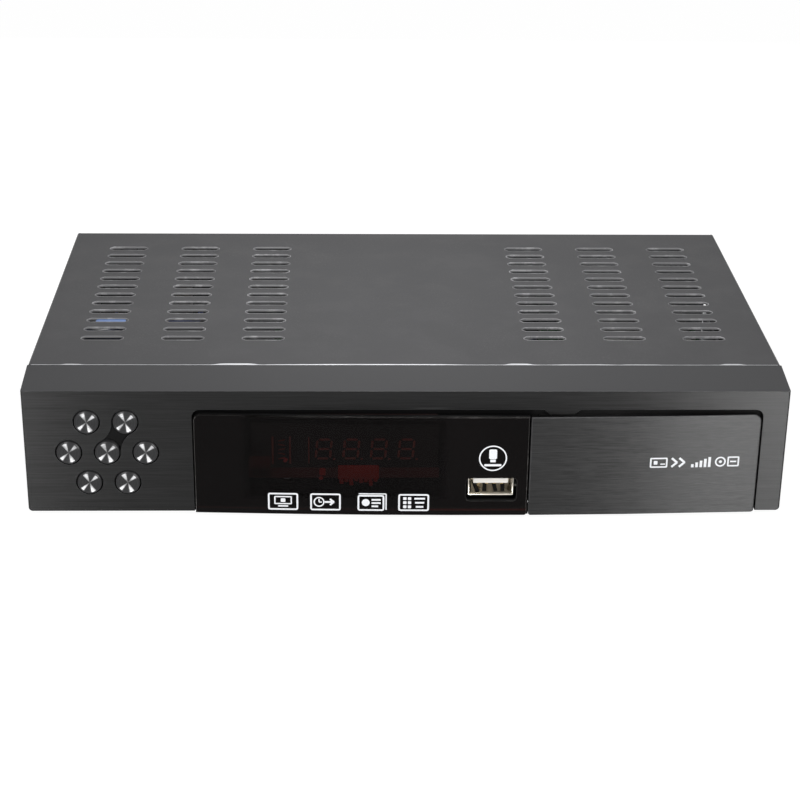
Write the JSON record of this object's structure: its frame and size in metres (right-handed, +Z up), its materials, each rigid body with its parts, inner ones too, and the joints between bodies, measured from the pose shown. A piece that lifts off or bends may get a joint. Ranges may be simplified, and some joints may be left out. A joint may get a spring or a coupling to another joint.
{
  "type": "satellite television receiver",
  "caption": "Low set-top receiver with round push keys, a bowed dark window over its display, a drop-down card door, slotted steel cover and rear jacks.",
  "frame": {"origin": "middle of the box that the receiver fills, at table level under its feet", "axes": "+X to the right seen from the front, +Y to the back, +Z up"},
  "size_m": [0.24, 0.156, 0.0469],
  "materials": {
    "cover_paint": "fine matt dark grey paint",
    "tray_steel": "bright galvanised sheet",
    "foot_rubber": "matt",
    "screw_steel": "black oxide",
    "panel_plastic": "brushed along X, dark",
    "window_plastic": "polished smoky tint",
    "door_plastic": "brushed along X, dark",
    "carrier_plastic": "moulded",
    "hinge_steel": "plain",
    "key_metal": "spun, dark bright finish",
    "plunger_plastic": "moulded",
    "switch_plastic": "moulded",
    "shield_steel": "tinned",
    "front_circuit": "green lacquer",
    "main_circuit": "green lacquer",
    "psu_circuit": "paper laminate",
    "display_resin": "dark red lens",
    "eye_resin": "dark resin",
    "lamp_resin": "red resin",
    "jack_nickel": "nickel plate",
    "ribbon_plastic": "soft vinyl",
    "wire_plastic": "soft vinyl",
    "chip_resin": "moulded",
    "sink_aluminium": "extruded",
    "capacitor_sleeve": "shrunk sleeve",
    "jack_plastic": "moulded",
    "ferrite": "ferrite and tape",
    "inlet_plastic": "moulded",
    "pin_brass": "plated",
    "rocker_plastic": "moulded"
  },
  "bodies": {
    "housing": {"av_jack_block": "jack_plastic", "av_jack_shells": "jack_nickel", "board_capacitors": "capacitor_sleeve", "board_chips": "chip_resin", "board_screws": "screw_steel", "board_sockets": "switch_plastic", "bulk_capacitor": "capacitor_sleeve", "card_reader": "switch_plastic", "card_reader_shield": "shield_steel", "chassis": "tray_steel", "cover_screws": "screw_steel", "display_module": "display_resin", "display_window": "window_plastic", "door_hinge_pins": "hinge_steel", "feet": "foot_rubber", "front_board": "front_circuit", "front_carrier": "carrier_plastic", "front_panel": "panel_plastic", "hdmi_shell": "jack_nickel", "hdmi_tongue": "switch_plastic", "heat_sink": "sink_aluminium", "ir_receiver": "eye_resin", "lnb_jacks": "jack_nickel", "lnb_nuts": "jack_nickel", "main_board": "main_circuit", "mains_inlet": "inlet_plastic", "mains_pins": "pin_brass", "mains_wires": "wire_plastic", "network_jack": "jack_plastic", "power_switch": "inlet_plastic", "psu_board": "psu_circuit", "psu_harness": "ribbon_plastic", "psu_heat_sink": "sink_aluminium", "rear_panel": "tray_steel", "ribbon_cable": "ribbon_plastic", "standby_led": "lamp_resin", "tact_switches": "switch_plastic", "top_cover": "cover_paint", "transformer": "ferrite", "tuner_can": "shield_steel", "usb_board": "front_circuit", "usb_shell": "jack_nickel", "usb_tongue": "switch_plastic"},
    "card_door": {"card_door": "door_plastic"},
    "power_rocker": {"power_rocker": "rocker_plastic"},
    "key_centre": {"key_centre": "key_metal", "plunger_centre": "plunger_plastic"},
    "key_right": {"key_right": "key_metal", "plunger_right": "plunger_plastic"},
    "key_top_right": {"key_top_right": "key_metal", "plunger_top_right": "plunger_plastic"},
    "key_top_left": {"key_top_left": "key_metal", "plunger_top_left": "plunger_plastic"},
    "key_left": {"key_left": "key_metal", "plunger_left": "plunger_plastic"},
    "key_bottom_left": {"key_bottom_left": "key_metal", "plunger_bottom_left": "plunger_plastic"},
    "key_bottom_right": {"key_bottom_right": "key_metal", "plunger_bottom_right": "plunger_plastic"}
  },
  "joints": [
    {"name": "card_door_hinge", "type": "hinge", "parent": "housing", "child": "card_door", "pos_m": [0.07508, -0.07272, 0.0075], "axis": [1, 0, 0], "range_deg": [0, 90]},
    {"name": "power_rocker_pivot", "type": "hinge", "parent": "housing", "child": "power_rocker", "pos_m": [-0.07, 0.06667, 0.022], "axis": [-1, 0, 0], "range_deg": [0, 22]},
    {"name": "key_centre_travel", "type": "slide", "parent": "housing", "child": "key_centre", "axis": [0, 1, 0], "range_m": [0, 0.0004], "stiffness_N_per_m": 4000},
    {"name": "key_right_travel", "type": "slide", "parent": "housing", "child": "key_right", "axis": [0, 1, 0], "range_m": [0, 0.0004], "stiffness_N_per_m": 4000},
    {"name": "key_top_right_travel", "type": "slide", "parent": "housing", "child": "key_top_right", "axis": [0, 1, 0], "range_m": [0, 0.0004], "stiffness_N_per_m": 4000},
    {"name": "key_top_left_travel", "type": "slide", "parent": "housing", "child": "key_top_left", "axis": [0, 1, 0], "range_m": [0, 0.0004], "stiffness_N_per_m": 4000},
    {"name": "key_left_travel", "type": "slide", "parent": "housing", "child": "key_left", "axis": [0, 1, 0], "range_m": [0, 0.0004], "stiffness_N_per_m": 4000},
    {"name": "key_bottom_left_travel", "type": "slide", "parent": "housing", "child": "key_bottom_left", "axis": [0, 1, 0], "range_m": [0, 0.0004], "stiffness_N_per_m": 4000},
    {"name": "key_bottom_right_travel", "type": "slide", "parent": "housing", "child": "key_bottom_right", "axis": [0, 1, 0], "range_m": [0, 0.0004], "stiffness_N_per_m": 4000}
  ]
}
